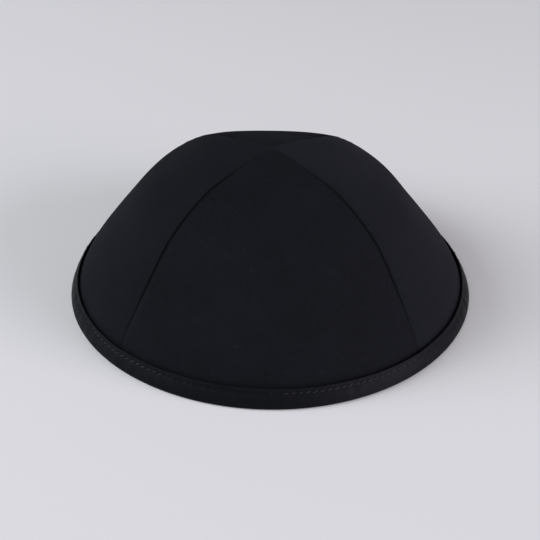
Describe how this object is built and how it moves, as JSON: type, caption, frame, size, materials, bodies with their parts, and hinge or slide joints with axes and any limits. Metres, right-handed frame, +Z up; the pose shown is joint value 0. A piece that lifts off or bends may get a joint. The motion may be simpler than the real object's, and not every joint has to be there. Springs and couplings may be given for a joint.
{
  "type": "kippah skullcap",
  "caption": "Round cloth skullcap: a shallow dome of sewn triangular panels that meet at the crown, open underneath, with a folded binding round its rim.",
  "frame": {"origin": "middle of the rim, on the surface that the rim rests on", "axes": "+Z up through the crown's highest point, +X to the right, and the front panel faces -Y"},
  "size_m": [0.16, 0.16, 0.06],
  "materials": {
    "crown_cloth": "matte, fine close weave, near-black with a faint blue tint",
    "binding_tape": "matte woven bias tape, near-black",
    "sewing_thread": "twisted thread with a faint sheen, slightly lighter than the tape"
  },
  "bodies": {
    "root": {"front_panel": "crown_cloth", "right_panel": "crown_cloth", "back_panel": "crown_cloth", "left_panel": "crown_cloth", "rim_binding": "binding_tape"}
  },
  "joints": []
}
